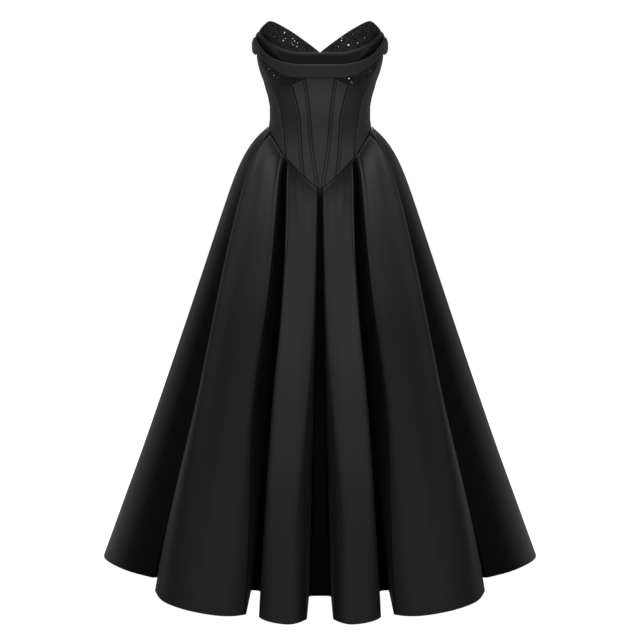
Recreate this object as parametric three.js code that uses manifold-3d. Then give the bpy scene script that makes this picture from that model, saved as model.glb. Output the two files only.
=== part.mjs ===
// A strapless corset gown: a boned satin bodice with a V-pointed waist, beaded cups, a neckline
// draped in two tiers, a concealed zip at the back, and a floor-length skirt hung in deep inverted
// pleats. Millimetres, +Z up, the front faces -Y, and the origin is the centre of the waist.
// The gown is worn, so every cloth wall has the form that a figure gives it, with no figure inside.
// Angles are degrees round the figure from the centre front (0) by the side (90) to the centre
// back (180). Pieces named left are on the wearer's left, +X, and the right ones mirror them.
import * as THREE from "three";
import { mergeVertices } from "three/addons/utils/BufferGeometryUtils.js";
import Module from "manifold-3d";

const wasm = await Module();
wasm.setup();

// Driving dimensions
const HEM_Z = -1066; // the hem, floor length below the waist
const HEM_RADIUS = 532; // the pleats' outer envelope at the hem
const BODICE_WALL = 2.2; // satin, interlining and lining together
const SKIRT_WALL = 1.8;
const DRAPE_WALL = 1.5;
const SEAM_GAP = 0.3; // between two neighbouring pieces

// The figure's outline: a row for each height, with the half width and the depth to front and back.
const TORSO = [
  { z: -197, halfWidth: 166, front: 105, back: 119 },
  { z: -150, halfWidth: 158, front: 102, back: 114 },
  { z: -100, halfWidth: 146, front: 98, back: 104 },
  { z: -60, halfWidth: 134, front: 92, back: 92 },
  { z: -24, halfWidth: 125, front: 86, back: 84 },
  { z: 0, halfWidth: 122.5, front: 84.5, back: 82 },
  { z: 29, halfWidth: 123.5, front: 88, back: 84 },
  { z: 49, halfWidth: 127, front: 94, back: 88 },
  { z: 68, halfWidth: 132.5, front: 101, back: 92 },
  { z: 88, halfWidth: 138, front: 108, back: 96 },
  { z: 107, halfWidth: 144.5, front: 112, back: 99 },
  { z: 127, halfWidth: 150.5, front: 113, back: 101 },
  { z: 146, halfWidth: 154, front: 112, back: 102 },
  { z: 176, halfWidth: 154.6, front: 107, back: 102 },
  { z: 215, halfWidth: 152, front: 95, back: 99 },
];
// Each cup's fullness over that outline.
const CUP = { angle: 33, z: 108, rise: 14, spreadAngle: 20, spreadZ: 46 };

// Edges that run round the bodice: height against angle.
const TOP_EDGE = [
  { angle: 0, z: 124.5 },
  { angle: 11, z: 148.3 },
  { angle: 25, z: 177.7 },
  { angle: 39, z: 201.5 },
  { angle: 47, z: 211.8 },
  { angle: 53, z: 215.5 },
  { angle: 61, z: 210.5 },
  { angle: 71, z: 203 },
  { angle: 80, z: 194 },
  { angle: 98, z: 183 },
  { angle: 112, z: 172 },
  { angle: 146, z: 146 },
  { angle: 180, z: 130 },
];
const CUP_SEAM = [
  { angle: 0, z: 106 },
  { angle: 8, z: 85.5 },
  { angle: 16.5, z: 67 },
  { angle: 27, z: 58 },
  { angle: 37, z: 57 },
  { angle: 50.5, z: 70.5 },
  { angle: 66.5, z: 103 },
  { angle: 80, z: 135 },
];
const WAIST_SEAM = [
  { angle: 0, z: -193 },
  { angle: 14, z: -161 },
  { angle: 33, z: -113.5 },
  { angle: 50, z: -73 },
  { angle: 70, z: -40.5 },
  { angle: 90, z: -22.5 },
  { angle: 112, z: -22 },
  { angle: 146, z: -33 },
  { angle: 180, z: -48 },
];

// Seams that run down the bodice: angle against height.
const SEAMS = {
  centreFront: [{ z: 0, angle: 0 }],
  innerBone: [
    { z: -180, angle: 2.3 },
    { z: -30, angle: 11.5 },
    { z: 67, angle: 16.4 },
  ],
  outerBone: [
    { z: -152, angle: 14.9 },
    { z: -30, angle: 23.2 },
    { z: 56, angle: 32.6 },
  ],
  princess: [
    { z: -100, angle: 33.6 },
    { z: -50, angle: 40.8 },
    { z: -18, angle: 46.8 },
    { z: 22, angle: 53.6 },
    { z: 70, angle: 61.2 },
    { z: 103, angle: 66.7 },
    { z: 134, angle: 71.5 },
    { z: 161, angle: 77 },
    { z: 195, angle: 83.6 },
  ],
  sideBack: [
    { z: -24, angle: 116 },
    { z: 172, angle: 111 },
  ],
  back: [
    { z: -34, angle: 150 },
    { z: 146, angle: 144 },
  ],
  centreBack: [{ z: 0, angle: 180 }],
};

// The bodice's panels on the wearer's left, each between two seams and two edges.
const PANELS = [
  { name: "bodice_front", from: "innerBone", to: "outerBone", over: CUP_SEAM, columns: 4 },
  { name: "bodice_side_front", from: "outerBone", to: "princess", over: CUP_SEAM, columns: 8 },
  { name: "bodice_side", from: "princess", to: "sideBack", over: TOP_EDGE, columns: 8 },
  { name: "bodice_side_back", from: "sideBack", to: "back", over: TOP_EDGE, columns: 4 },
  { name: "bodice_back", from: "back", to: "centreBack", over: TOP_EDGE, columns: 4 },
];
const PANEL_ROWS = 14;
const CENTRE_COLUMNS = 8;
const CUP_COLUMNS = 14;
const CUP_ROWS = 8;

// Boning channels: flat casings stitched over the two front seams.
const CHANNEL = { width: 7.5, thickness: 0.9, lift: 0.4, columns: 2, rows: 14, endGap: 1.5 };

// The neckline's two draped tiers. Each hangs on an ellipse, halfWidth by front, and is sewn to the
// bodice at its ends, endLift away from it. sideRoll scales its section's roundness at the sides,
// and edges gives the heights of its top and bottom against the angle.
const TIERS = [
  { name: "drape_upper", halfWidth: 158.4, front: 138, endLift: 1.9, sideRoll: 0.25, edges: [
    { angle: 0, top: 118.5, bottom: 80 },
    { angle: 22, top: 122.5, bottom: 84 },
    { angle: 38, top: 140, bottom: 99 },
    { angle: 52, top: 161, bottom: 123 },
    { angle: 67, top: 191, bottom: 156 },
    { angle: 79, top: 188, bottom: 160 },
    { angle: 98, top: 180, bottom: 156 },
  ] },
  { name: "drape_lower", halfWidth: 164.2, front: 147, endLift: 4.8, sideRoll: 1, edges: [
    { angle: 0, top: 88.5, bottom: 55 },
    { angle: 18, top: 91, bottom: 58 },
    { angle: 29, top: 98, bottom: 67 },
    { angle: 41, top: 112, bottom: 87 },
    { angle: 52, top: 132, bottom: 110 },
    { angle: 64, top: 161, bottom: 133 },
    { angle: 72, top: 181, bottom: 144 },
    { angle: 82, top: 182, bottom: 151 },
    { angle: 98, top: 176, bottom: 155 },
  ] },
];
const TIER_END = 98; // the angle of the tiers' sewn ends
const TIER_FLATTEN = 0.84; // the share of the way round from which they close in on the bodice
const TIER_END_ROLL = 0.25; // the section's roundness there
const TIER_SIDE = { from: 0.3, to: 0.8 }; // the shares between which sideRoll comes in
const TIER_COLUMNS = 26;
const TIER_ROWS = 8;

// A tier's section from its turned-in lower edge, up its face, over the top roll and down behind.
// out is millimetres off the ellipse, up is a share of the tier's height from its middle.
const TIER_SECTION = [
  { out: -3.6, up: -0.38 },
  { out: -3.2, up: -0.49 },
  { out: -0.4, up: -0.51 },
  { out: 1.8, up: -0.28 },
  { out: 2.8, up: 0.1 },
  { out: 1.4, up: 0.42 },
  { out: -1.2, up: 0.54 },
  { out: -3.6, up: 0.46 },
  { out: -4.2, up: 0.24 },
];

// The skirt's inverted pleats on the wearer's left, from the centre front to the centre back.
// seam and hem are the angles of the fold's middle, depth is how far its floor lies inside the
// envelope at the hem, floor half its width, and lean how far it is carried on round the figure.
const FOLDS = [
  { name: "centreFront", seam: 0, hem: 0, depth: 190, floor: 22.5, lean: 0 },
  { name: "front", seam: 33.6, hem: 15.6, depth: 203, floor: 10, lean: 49 },
  { name: "sideFront", seam: 66, hem: 52.5, depth: 128, floor: 8, lean: 46 },
  { name: "sideBack", seam: 114, hem: 121, depth: 160, floor: 14, lean: -18 },
  { name: "back", seam: 148, hem: 154, depth: 180, floor: 13, lean: -24 },
  { name: "centreBack", seam: 180, hem: 180, depth: 0, floor: 16, lean: 0 },
];

// The gores between them. near and far are each gore's two edges: at the hem, an edge lies half a
// mouth from the fold's middle and drops below the envelope, and its shoulder, at reach, drops less.
// crown gives the drops of the ridge between, at shares of the way across. The drops grow with the
// power of the way down that its edges have. belly moves an edge away from the fold's middle about
// the share bellyAt of the way down.
const GORES = [
  { name: "skirt_front", from: 0, to: 1,
    near: { mouth: 21, drop: 42, reach: 35, shoulder: 19, power: 1.3, belly: 12, bellyAt: 0.72 },
    far: { mouth: 15.6, drop: 39, reach: 38, shoulder: 17, power: 1.3, belly: 24, bellyAt: 0.2 },
    crown: [{ share: 0.42, drop: 2 }] },
  { name: "skirt_side_front", from: 1, to: 2,
    near: { mouth: 11.5, drop: 48, reach: 27, shoulder: 32, power: 1.3, belly: 21, bellyAt: 0.6 },
    far: { mouth: 26, drop: 71, reach: 90, shoulder: 48, power: 2.8, belly: 34, bellyAt: 0.55 },
    crown: [{ share: 0.19, drop: 18 }, { share: 0.4, drop: 19 }, { share: 0.58, drop: 29 }] },
  { name: "skirt_side", from: 2, to: 3,
    near: { mouth: 62, drop: 112, reach: 112, shoulder: 98, power: 1.0, belly: 0, bellyAt: 0.4 },
    far: { mouth: 22, drop: 48, reach: 70, shoulder: 14, power: 1, belly: 5, bellyAt: 0.4 },
    crown: [{ share: 0.29, drop: 61 }, { share: 0.47, drop: 9 }, { share: 0.6, drop: -3 },
      { share: 0.76, drop: 0 }] },
  { name: "skirt_side_back", from: 3, to: 4,
    near: { mouth: 18, drop: 46, reach: 62, shoulder: 12, power: 1.3, belly: 5, bellyAt: 0.4 },
    far: { mouth: 18, drop: 44, reach: 60, shoulder: 12, power: 1.3, belly: 8, bellyAt: 0.4 },
    crown: [{ share: 0.38, drop: -2 }, { share: 0.62, drop: -3 }] },
  { name: "skirt_back", from: 4, to: 5,
    near: { mouth: 18, drop: 44, reach: 58, shoulder: 12, power: 1.3, belly: 8, bellyAt: 0.4 },
    far: { mouth: 48, drop: 0, reach: 72, shoulder: 0, power: 1.3, belly: 0, bellyAt: 0.4 },
    crown: [{ share: 0.5, drop: -3 }] },
];
const PLEAT_STEP = 2.6; // between a pleat's floor, wall and edge where they meet the waist seam
const PLEAT_SHOULDER = 12; // from its edge to the full envelope there
const PUFF_SIDE = 0.12; // the share of the flare that springs out at once below the seam
const PUFF_FRONT = 0.06;
const PUFF_LENGTH = 0.045; // and the share of the skirt's length over which it does
const BELLY_SPREAD = 0.26; // the share of the way down over which an edge's belly fades
const BELLY_START_POWER = 0.3; // and how fast it opens below the seam
const SEAM_FADE_POWER = 30; // how fast the skirt leaves the exact line of the waist seam
const HEM_KICK = 0.07; // the extra flare towards the hem
const GORE_COLUMNS = 20;
const GORE_ROWS = 10;
const ROW_SPACING_POWER = 1.5; // closer rows near the waist
const PASSES = 12; // that settle where a point between slanting edges lies

// The zip's slider and pull at the top of the centre back seam.
const SLIDER = { width: 5, height: 9, depth: 2.2, z: 116, wall: 1, bailWidth: 1.4 };
const WINDOW = { depth: 2.2, height: 2.8, seat: 0.6 }; // the opening under the bail, sunk by its seat
const PULL = { width: 6, length: 24, thickness: 0.9, eyeWidth: 2.8, eyeLength: 5.6, bar: 1 };

const SATIN = new THREE.MeshStandardMaterial({ color: 0x1b1b1d, roughness: 0.5, metalness: 0 });
const BEADED = new THREE.MeshStandardMaterial({ color: 0x121214, roughness: 0.35, metalness: 0.1 });
const METAL = new THREE.MeshStandardMaterial({ color: 0x2a2a2c, roughness: 0.3, metalness: 0.8 });

const radians = THREE.MathUtils.degToRad;
const mix = THREE.MathUtils.lerp;

// The value of one column of a table at a place along another, on a smooth curve through its rows.
function along(table, key, column, at) {
  const last = table.length - 1;
  if (last === 0 || at <= table[0][key]) return table[0][column];
  if (at >= table[last][key]) return table[last][column];
  const i = table.findIndex((row) => row[key] > at) - 1;
  const rise = (a, b) => (table[b][column] - table[a][column]) / (table[b][key] - table[a][key]);
  const slope = (k) => rise(Math.max(k - 1, 0), Math.min(k + 1, last));
  const span = table[i + 1][key] - table[i][key];
  const t = (at - table[i][key]) / span;
  const bend = (1 - t) * t * span;
  return (
    mix(table[i][column], table[i + 1][column], t * t * (3 - 2 * t)) +
    bend * (slope(i) * (1 - t) - slope(i + 1) * t)
  );
}

// A point of the bodice's outer surface.
function torsoPoint(angle, z) {
  const a = radians(angle);
  const wide = along(TORSO, "z", "halfWidth", z);
  const deep = along(TORSO, "z", Math.abs(angle) < 90 ? "front" : "back", z);
  const out = new THREE.Vector3(Math.sin(a) / wide, -Math.cos(a) / deep, 0).normalize();
  const across = (Math.abs(angle) - CUP.angle) / CUP.spreadAngle;
  const up = (z - CUP.z) / CUP.spreadZ;
  const fullness = CUP.rise * Math.exp(-across * across - up * up);
  return new THREE.Vector3(wide * Math.sin(a), -deep * Math.cos(a), z).addScaledVector(out, fullness);
}

// The angle round the figure whose point at this height has this x and y.
function figureAngle(point) {
  const wide = along(TORSO, "z", "halfWidth", point.z);
  const deep = along(TORSO, "z", point.y < 0 ? "front" : "back", point.z);
  return THREE.MathUtils.radToDeg(Math.atan2(point.x / wide, -point.y / deep));
}

// A point of a clamped cubic B-spline, for smooth cloth through a few control points.
function splinePoint(points, t) {
  const spans = points.length - 3;
  const knot = (i) => THREE.MathUtils.clamp(i - 3, 0, spans);
  const at = t * spans;
  const k = Math.min(Math.floor(at), spans - 1) + 3;
  const d = points.slice(k - 3, k + 1).map((p) => p.clone());
  for (let round = 1; round <= 3; round++)
    for (let j = 3; j >= round; j--) {
      const low = knot(j + k - 3);
      const share = (at - low) / (knot(j + 1 + k - round) - low);
      d[j].lerpVectors(d[j - 1], d[j], share);
    }
  return d[3];
}

// The outward normal of surface(s, t), where s runs round the figure and t upwards.
function normalAt(surface, s, t) {
  const step = 1e-3;
  const ahead = (x) => Math.min(x + step, 1);
  const behind = (x) => Math.max(x - step, 0);
  const round = surface(ahead(s), t).sub(surface(behind(s), t));
  const up = surface(s, ahead(t)).sub(surface(s, behind(t)));
  return round.cross(up).normalize();
}

// Closed solid between the layers from and to, which lie that far outside surface(s, t).
function clothSolid(surface, columns, rows, from, to) {
  const vertices = [];
  const faces = [];
  for (const offset of [to, from])
    for (let j = 0; j <= rows; j++)
      for (let i = 0; i <= columns; i++) {
        const [s, t] = [i / columns, j / rows];
        const point = surface(s, t).addScaledVector(normalAt(surface, s, t), offset);
        vertices.push(point.x, point.y, point.z);
      }
  const layer = (columns + 1) * (rows + 1);
  const outer = (i, j) => j * (columns + 1) + i;
  const inner = (i, j) => layer + outer(i, j);
  const quad = (a, b, c, d) => faces.push(a, b, c, a, c, d);
  for (let j = 0; j < rows; j++)
    for (let i = 0; i < columns; i++) {
      quad(outer(i, j), outer(i + 1, j), outer(i + 1, j + 1), outer(i, j + 1));
      quad(inner(i, j), inner(i, j + 1), inner(i + 1, j + 1), inner(i + 1, j));
    }
  for (let i = 0; i < columns; i++) {
    quad(outer(i, 0), inner(i, 0), inner(i + 1, 0), outer(i + 1, 0));
    quad(outer(i, rows), outer(i + 1, rows), inner(i + 1, rows), inner(i, rows));
  }
  for (let j = 0; j < rows; j++) {
    quad(outer(0, j), outer(0, j + 1), inner(0, j + 1), inner(0, j));
    quad(outer(columns, j), inner(columns, j), inner(columns, j + 1), outer(columns, j + 1));
  }
  const geometry = new THREE.BufferGeometry();
  geometry.setAttribute("position", new THREE.Float32BufferAttribute(vertices, 3));
  geometry.setIndex(faces);
  return geometry;
}

// The same surface on the wearer's right.
function mirrored(surface) {
  return (s, t) => surface(1 - s, t).multiply(new THREE.Vector3(-1, 1, 1));
}

// A panel of the bodice between the seam angles start(z) and end(z) and the edges under and over,
// kept half a gap inside its seams.
function panelSurface(start, end, under, over) {
  const inset = 0.75 * SEAM_GAP;
  return (s, t) => {
    let [angle, z] = [mix(start(0), end(0), s), 0];
    for (let pass = 0; pass < PASSES; pass++) {
      const a = radians(angle);
      const arc = Math.hypot(along(TORSO, "z", "halfWidth", z) * Math.cos(a),
        along(TORSO, "z", "front", z) * Math.sin(a));
      const gap = THREE.MathUtils.radToDeg(inset / arc);
      angle = mix(start(z) + gap, end(z) - gap, s);
      const low = along(under, "angle", "z", Math.abs(angle)) + SEAM_GAP;
      const high = along(over, "angle", "z", Math.abs(angle)) - (over === CUP_SEAM ? SEAM_GAP : 0);
      z = mix(low, high, t);
    }
    return torsoPoint(angle, z);
  };
}

function seamAngle(name) {
  return (z) => along(SEAMS[name], "z", "angle", z);
}

// A boning channel that follows a seam of the bodice from the waist seam to the cup's.
function channelSurface(name) {
  const seam = seamAngle(name);
  return (s, t) => {
    let [angle, z] = [seam(0), 0];
    for (let pass = 0; pass < PASSES; pass++) {
      const low = along(WAIST_SEAM, "angle", "z", angle) + CHANNEL.endGap;
      const high = along(CUP_SEAM, "angle", "z", angle) - CHANNEL.endGap;
      z = mix(low, high, t);
      const half = THREE.MathUtils.radToDeg(CHANNEL.width / 2 / along(TORSO, "z", "halfWidth", z));
      angle = seam(z) + mix(-half, half, s);
    }
    return torsoPoint(angle, z);
  };
}

// A draped tier: its section carried round the front from one side of the bodice to the other.
function tierSurface(tier) {
  return (s, t) => {
    const angle = mix(-TIER_END, TIER_END, s);
    const a = radians(angle);
    const share = Math.abs(angle) / TIER_END;
    const top = along(tier.edges, "angle", "top", Math.abs(angle));
    const bottom = along(tier.edges, "angle", "bottom", Math.abs(angle));
    const ending = THREE.MathUtils.smoothstep(share, TIER_FLATTEN, 1);
    const aside = THREE.MathUtils.smoothstep(share, TIER_SIDE.from, TIER_SIDE.to);
    const roll = mix(mix(1, tier.sideRoll, aside), TIER_END_ROLL, ending);
    const place = splinePoint(TIER_SECTION.map((row) => new THREE.Vector3(row.out * roll, 0, row.up)), t);
    const z = (top + bottom) / 2 + place.z * (top - bottom);
    const out = new THREE.Vector3(Math.sin(a) / tier.halfWidth, -Math.cos(a) / tier.front, 0).normalize();
    const hung = new THREE.Vector3(tier.halfWidth * Math.sin(a), -tier.front * Math.cos(a), z);
    const sewn = torsoPoint(angle, z).addScaledVector(out, tier.endLift);
    return hung.lerp(sewn, ending).addScaledVector(out, place.x);
  };
}

// How far the skirt has flared, as a share, at a share of the way down from its seam.
function flare(down, puff) {
  const sprung = 1 - Math.exp(-down / PUFF_LENGTH);
  return (1 - HEM_KICK - puff) * down + HEM_KICK * down * down + puff * sprung;
}

// A point of the envelope that the skirt's pleats fill, below a place on the waist seam.
function envelopePoint(seam, hem, down) {
  const top = torsoPoint(seam, along(WAIST_SEAM, "angle", "z", seam) - SEAM_GAP);
  const outward = new THREE.Vector3(Math.sin(radians(hem)), -Math.cos(radians(hem)), 0);
  const foot = outward.multiplyScalar(HEM_RADIUS);
  const out = flare(down, mix(PUFF_FRONT, PUFF_SIDE, Math.sin(radians(Math.min(seam, 90))) ** 2));
  return new THREE.Vector3(mix(top.x, foot.x, out), mix(top.y, foot.y, out), mix(top.z, HEM_Z, down));
}

// A gore's half of a pleat at one level, from its seam in the pleat's floor to its shoulder. The
// pressed creases, at the floor's corner and at the lip, are given twice, which keeps them crisp.
// side is 1 on the fold's far side from the centre front and -1 on its near side.
function pleatPoints(fold, edge, side, down) {
  const opened = flare(down, PUFF_SIDE);
  const middle = envelopePoint(fold.seam, fold.hem, down);
  const inward = new THREE.Vector3(-middle.x, -middle.y, 0).normalize();
  const round = new THREE.Vector3(inward.y, -inward.x, 0);
  const fromBelly = (down - edge.bellyAt) / BELLY_SPREAD;
  const belly = edge.belly * Math.exp(-fromBelly * fromBelly) * opened ** BELLY_START_POWER;
  const mouth = mix(3 * PLEAT_STEP, edge.mouth, down) + belly;
  const floor = mix(PLEAT_STEP, fold.floor, down);
  const sunk = down ** edge.power;
  const depth = fold.depth * opened;
  const lean = fold.lean * opened;
  const corner = { round: side * floor + lean, in: depth };
  const lip = { round: side * mouth, in: edge.drop * sunk };
  const rows = [
    { round: (side * SEAM_GAP) / 2 + lean, in: depth },
    corner,
    corner,
    { round: (side * (floor + mouth) + lean) / 2, in: (depth + lip.in) / 2 },
    lip,
    lip,
    { round: side * mix(PLEAT_SHOULDER, edge.reach + belly, down), in: edge.shoulder * sunk },
  ];
  return rows.map((row) => middle.clone().addScaledVector(round, row.round).addScaledVector(inward, row.in));
}

// A gore of the skirt, from the floor of one pleat over its own ridge to the floor of the next.
function goreSurface(gore) {
  const [near, far] = [FOLDS[gore.from], FOLDS[gore.to]];
  const levels = new Map();
  const levelPoints = (down) => {
    if (!levels.has(down)) {
      const crown = gore.crown.map(({ share, drop }) => {
        const point = envelopePoint(mix(near.seam, far.seam, share), mix(near.hem, far.hem, share), down);
        const inward = new THREE.Vector3(-point.x, -point.y, 0).normalize();
        const sunk = down ** mix(gore.near.power, gore.far.power, share);
        return point.addScaledVector(inward, drop * sunk);
      });
      const first = pleatPoints(near, gore.near, 1, down);
      const last = pleatPoints(far, gore.far, -1, down);
      levels.set(down, [...first, ...crown, ...last.reverse()]);
    }
    return levels.get(down);
  };
  return (s, t) => {
    const down = (1 - t) ** ROW_SPACING_POWER;
    const top = splinePoint(levelPoints(0), s);
    const angle = figureAngle(top);
    const sewn = torsoPoint(angle, along(WAIST_SEAM, "angle", "z", angle) - SEAM_GAP).sub(top);
    return splinePoint(levelPoints(down), s).addScaledVector(sewn, (1 - down) ** SEAM_FADE_POWER);
  };
}

// A mesh's geometry as a solid for joining and cutting, and back.
function solidOf(geometry) {
  const bare = geometry.index ? geometry.toNonIndexed() : geometry.clone();
  bare.deleteAttribute("normal");
  bare.deleteAttribute("uv");
  const merged = mergeVertices(bare, 1e-4);
  return new wasm.Manifold(
    new wasm.Mesh({
      numProp: 3,
      vertProperties: merged.attributes.position.array,
      triVerts: new Uint32Array(merged.index.array),
    }),
  );
}

function geometryOf(solid) {
  const mesh = solid.getMesh();
  const geometry = new THREE.BufferGeometry();
  geometry.setAttribute("position", new THREE.BufferAttribute(mesh.vertProperties, 3));
  geometry.setIndex(new THREE.BufferAttribute(mesh.triVerts, 1));
  return geometry;
}

// An outline with an optional hole, extruded by depth and centred on it.
function plate(outline, hole, depth) {
  const shape = new THREE.Shape(outline);
  if (hole) shape.holes.push(new THREE.Path(hole));
  const geometry = new THREE.ExtrudeGeometry(shape, { depth, bevelEnabled: false, curveSegments: 4 });
  return geometry.translate(0, 0, -depth / 2);
}

// A rectangle about (x, y) with its corners cut.
function cutRectangle(x, y, width, height, cut) {
  const [w, h] = [width / 2, height / 2];
  const corners = [[-w, -h + cut], [-w + cut, -h], [w - cut, -h], [w, -h + cut],
    [w, h - cut], [w - cut, h], [-w + cut, h], [-w, h - cut]];
  return corners.map(([cx, cy]) => new THREE.Vector2(x + cx, y + cy));
}

// The slider: a body on the seam and a bail that stands off it, its window open to left and right.
// Its own frame has y away from the cloth and z up.
function sliderGeometry() {
  const body = plate(cutRectangle(0, 0, SLIDER.width, SLIDER.height, 1.2), null, SLIDER.depth);
  body.rotateX(Math.PI / 2).translate(0, SLIDER.depth / 2, 0);
  const outerDepth = WINDOW.depth + SLIDER.wall + WINDOW.seat;
  const bail = plate(
    cutRectangle(outerDepth / 2 - WINDOW.seat, 0, outerDepth, WINDOW.height + 2 * SLIDER.wall, 0.7),
    cutRectangle(WINDOW.depth / 2, 0, WINDOW.depth, WINDOW.height, 0.3),
    SLIDER.bailWidth,
  );
  bail.applyMatrix4(new THREE.Matrix4().makeBasis(
    new THREE.Vector3(0, 1, 0), new THREE.Vector3(0, 0, 1), new THREE.Vector3(1, 0, 0)));
  bail.translate(0, SLIDER.depth, 0);
  return geometryOf(solidOf(body).add(solidOf(bail)));
}

// The pull: a tapering plate whose eye hangs on the bail. Its own origin is the pivot.
function pullGeometry() {
  const half = PULL.width / 2;
  const top = PULL.bar / 2;
  const outline = [
    [-half * 0.75, top], [-half * 0.8, -PULL.eyeLength - 1], [-half, -PULL.length + 3],
    [-half * 0.6, -PULL.length + 0.5], [0, -PULL.length], [half * 0.6, -PULL.length + 0.5],
    [half, -PULL.length + 3], [half * 0.8, -PULL.eyeLength - 1], [half * 0.75, top],
  ].map(([x, y]) => new THREE.Vector2(x, y));
  const eye = cutRectangle(0, -PULL.bar / 2 - PULL.eyeLength / 2, PULL.eyeWidth, PULL.eyeLength, 0.5);
  return plate(outline, eye, PULL.thickness).rotateX(Math.PI / 2);
}

const gown = new THREE.Group();

function addPiece(name, geometry, material) {
  const mesh = new THREE.Mesh(geometry, material);
  mesh.name = name;
  gown.add(mesh);
  return mesh;
}

// A piece on the wearer's left and its mirror image.
function addPair(name, surface, columns, rows, from, to, material) {
  addPiece(`${name}_left`, clothSolid(surface, columns, rows, from, to), material);
  addPiece(`${name}_right`, clothSolid(mirrored(surface), columns, rows, from, to), material);
}

function addBodice() {
  const inner = seamAngle("innerBone");
  const centre = panelSurface((z) => -inner(z), inner, WAIST_SEAM, CUP_SEAM);
  addPiece("bodice_centre_front", clothSolid(centre, CENTRE_COLUMNS, PANEL_ROWS, -BODICE_WALL, 0), SATIN);
  for (const { name, from, to, over, columns } of PANELS) {
    const surface = panelSurface(seamAngle(from), seamAngle(to), WAIST_SEAM, over);
    addPair(name, surface, columns, PANEL_ROWS, -BODICE_WALL, 0, SATIN);
  }
  const cup = panelSurface(seamAngle("centreFront"), seamAngle("princess"), CUP_SEAM, TOP_EDGE);
  addPair("cup", cup, CUP_COLUMNS, CUP_ROWS, -BODICE_WALL, 0, BEADED);
  for (const seam of ["innerBone", "outerBone"]) {
    const name = seam === "innerBone" ? "bone_channel_inner" : "bone_channel_outer";
    const { columns, rows, lift, thickness } = CHANNEL;
    addPair(name, channelSurface(seam), columns, rows, lift, lift + thickness, SATIN);
  }
}

function addDrape() {
  for (const tier of TIERS)
    addPiece(tier.name, clothSolid(tierSurface(tier), TIER_COLUMNS, TIER_ROWS, -DRAPE_WALL, 0), SATIN);
}

function addSkirt() {
  for (const gore of GORES)
    addPair(gore.name, goreSurface(gore), GORE_COLUMNS, GORE_ROWS, -SKIRT_WALL, 0, SATIN);
}

function addZip() {
  const back = torsoPoint(180, SLIDER.z).y + 2 * SEAM_GAP;
  addPiece("zip_slider", sliderGeometry(), METAL).position.set(0, back, SLIDER.z);
  const pivot = new THREE.Vector3(0, back + SLIDER.depth + WINDOW.depth / 2, SLIDER.z);
  addPiece("zip_pull", pullGeometry(), METAL).position.copy(pivot);
}

addBodice();
addDrape();
addSkirt();
addZip();

export default gown;
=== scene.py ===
# A strapless corset gown in black satin: beaded cups, a neckline draped in two tiers, a boned bodice
# with a V-pointed waist, and a floor-length skirt in deep inverted pleats.
# Sizes are millimetres until a piece is built. +Z is up, the front faces -Y, and the origin is the
# centre of the waist. Angles are degrees round the figure from the centre front to the centre back.
import math

import bpy
import numpy as np
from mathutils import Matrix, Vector


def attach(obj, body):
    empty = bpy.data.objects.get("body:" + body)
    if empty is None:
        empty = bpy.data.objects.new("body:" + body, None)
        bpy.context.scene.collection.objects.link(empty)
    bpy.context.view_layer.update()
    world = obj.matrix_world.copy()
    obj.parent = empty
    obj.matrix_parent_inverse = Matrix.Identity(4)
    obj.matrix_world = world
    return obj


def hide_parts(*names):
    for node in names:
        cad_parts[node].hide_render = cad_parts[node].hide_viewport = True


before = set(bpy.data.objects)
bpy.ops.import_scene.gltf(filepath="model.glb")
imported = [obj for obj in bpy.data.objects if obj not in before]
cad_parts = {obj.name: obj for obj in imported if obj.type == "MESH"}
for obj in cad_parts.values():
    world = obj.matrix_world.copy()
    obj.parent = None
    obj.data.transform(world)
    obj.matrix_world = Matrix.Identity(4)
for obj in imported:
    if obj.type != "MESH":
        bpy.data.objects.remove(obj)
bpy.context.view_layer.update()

MM = 0.001
HEM_Z = -1066
HEM_RADIUS = 532  # the pleats' outer envelope at the hem
BODICE_WALL = 2.2
SKIRT_WALL = 1.8
DRAPE_WALL = 1.5
CHANNEL_WALL = 0.9


def table(columns, *rows):
    """Rows of numbers under named columns."""
    return dict(zip(columns.split(), np.array(rows, float).T))


# The figure's outline at each height: half width, and depth to the front and to the back.
TORSO = table(
    "z wide front back",
    (-197, 166, 105, 119), (-150, 158, 102, 114), (-100, 146, 98, 104), (-60, 134, 92, 92),
    (-24, 125, 86, 84), (0, 122.5, 84.5, 82), (29, 123.5, 88, 84), (49, 127, 94, 88),
    (68, 132.5, 101, 92), (88, 138, 108, 96), (107, 144.5, 112, 99), (127, 150.5, 113, 101),
    (146, 154, 112, 102), (176, 154.6, 107, 102), (215, 152, 95, 99),
)
CUP_FULLNESS = {"angle": 33, "z": 108, "rise": 14, "spread_angle": 20, "spread_z": 46}
TOP_EDGE = table(
    "angle z",
    (0, 124.5), (11, 148.3), (25, 177.7), (39, 201.5), (47, 211.8), (53, 215.5), (61, 210.5), (71, 203),
    (80, 194), (98, 183), (112, 172), (146, 146), (180, 130),
)
CUP_SEAM = table(
    "angle z", (0, 106), (8, 85.5), (16.5, 67), (27, 58), (37, 57), (50.5, 70.5), (66.5, 103), (80, 135)
)
WAIST_SEAM = table(
    "angle z",
    (0, -193), (14, -161), (33, -113.5), (50, -73), (70, -40.5), (90, -22.5), (112, -22), (146, -33),
    (180, -48),
)
SEAMS = {
    "centre_front": table("z angle", (0, 0)),
    "inner_bone": table("z angle", (-180, 2.3), (-30, 11.5), (67, 16.4)),
    "outer_bone": table("z angle", (-152, 14.9), (-30, 23.2), (56, 32.6)),
    "princess": table(
        "z angle",
        (-100, 33.6), (-50, 40.8), (-18, 46.8), (22, 53.6), (70, 61.2), (103, 66.7), (134, 71.5),
        (161, 77), (195, 83.6),
    ),
    "side_back": table("z angle", (-24, 116), (172, 111)),
    "back": table("z angle", (-34, 150), (146, 144)),
    "centre_back": table("z angle", (0, 180)),
}
CHANNEL_WIDTH = 7.5
CHANNEL_END_GAP = 1.5
SEAM_ROUNDS = 12  # rounds in which a panel's seams and edges find each other
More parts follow.
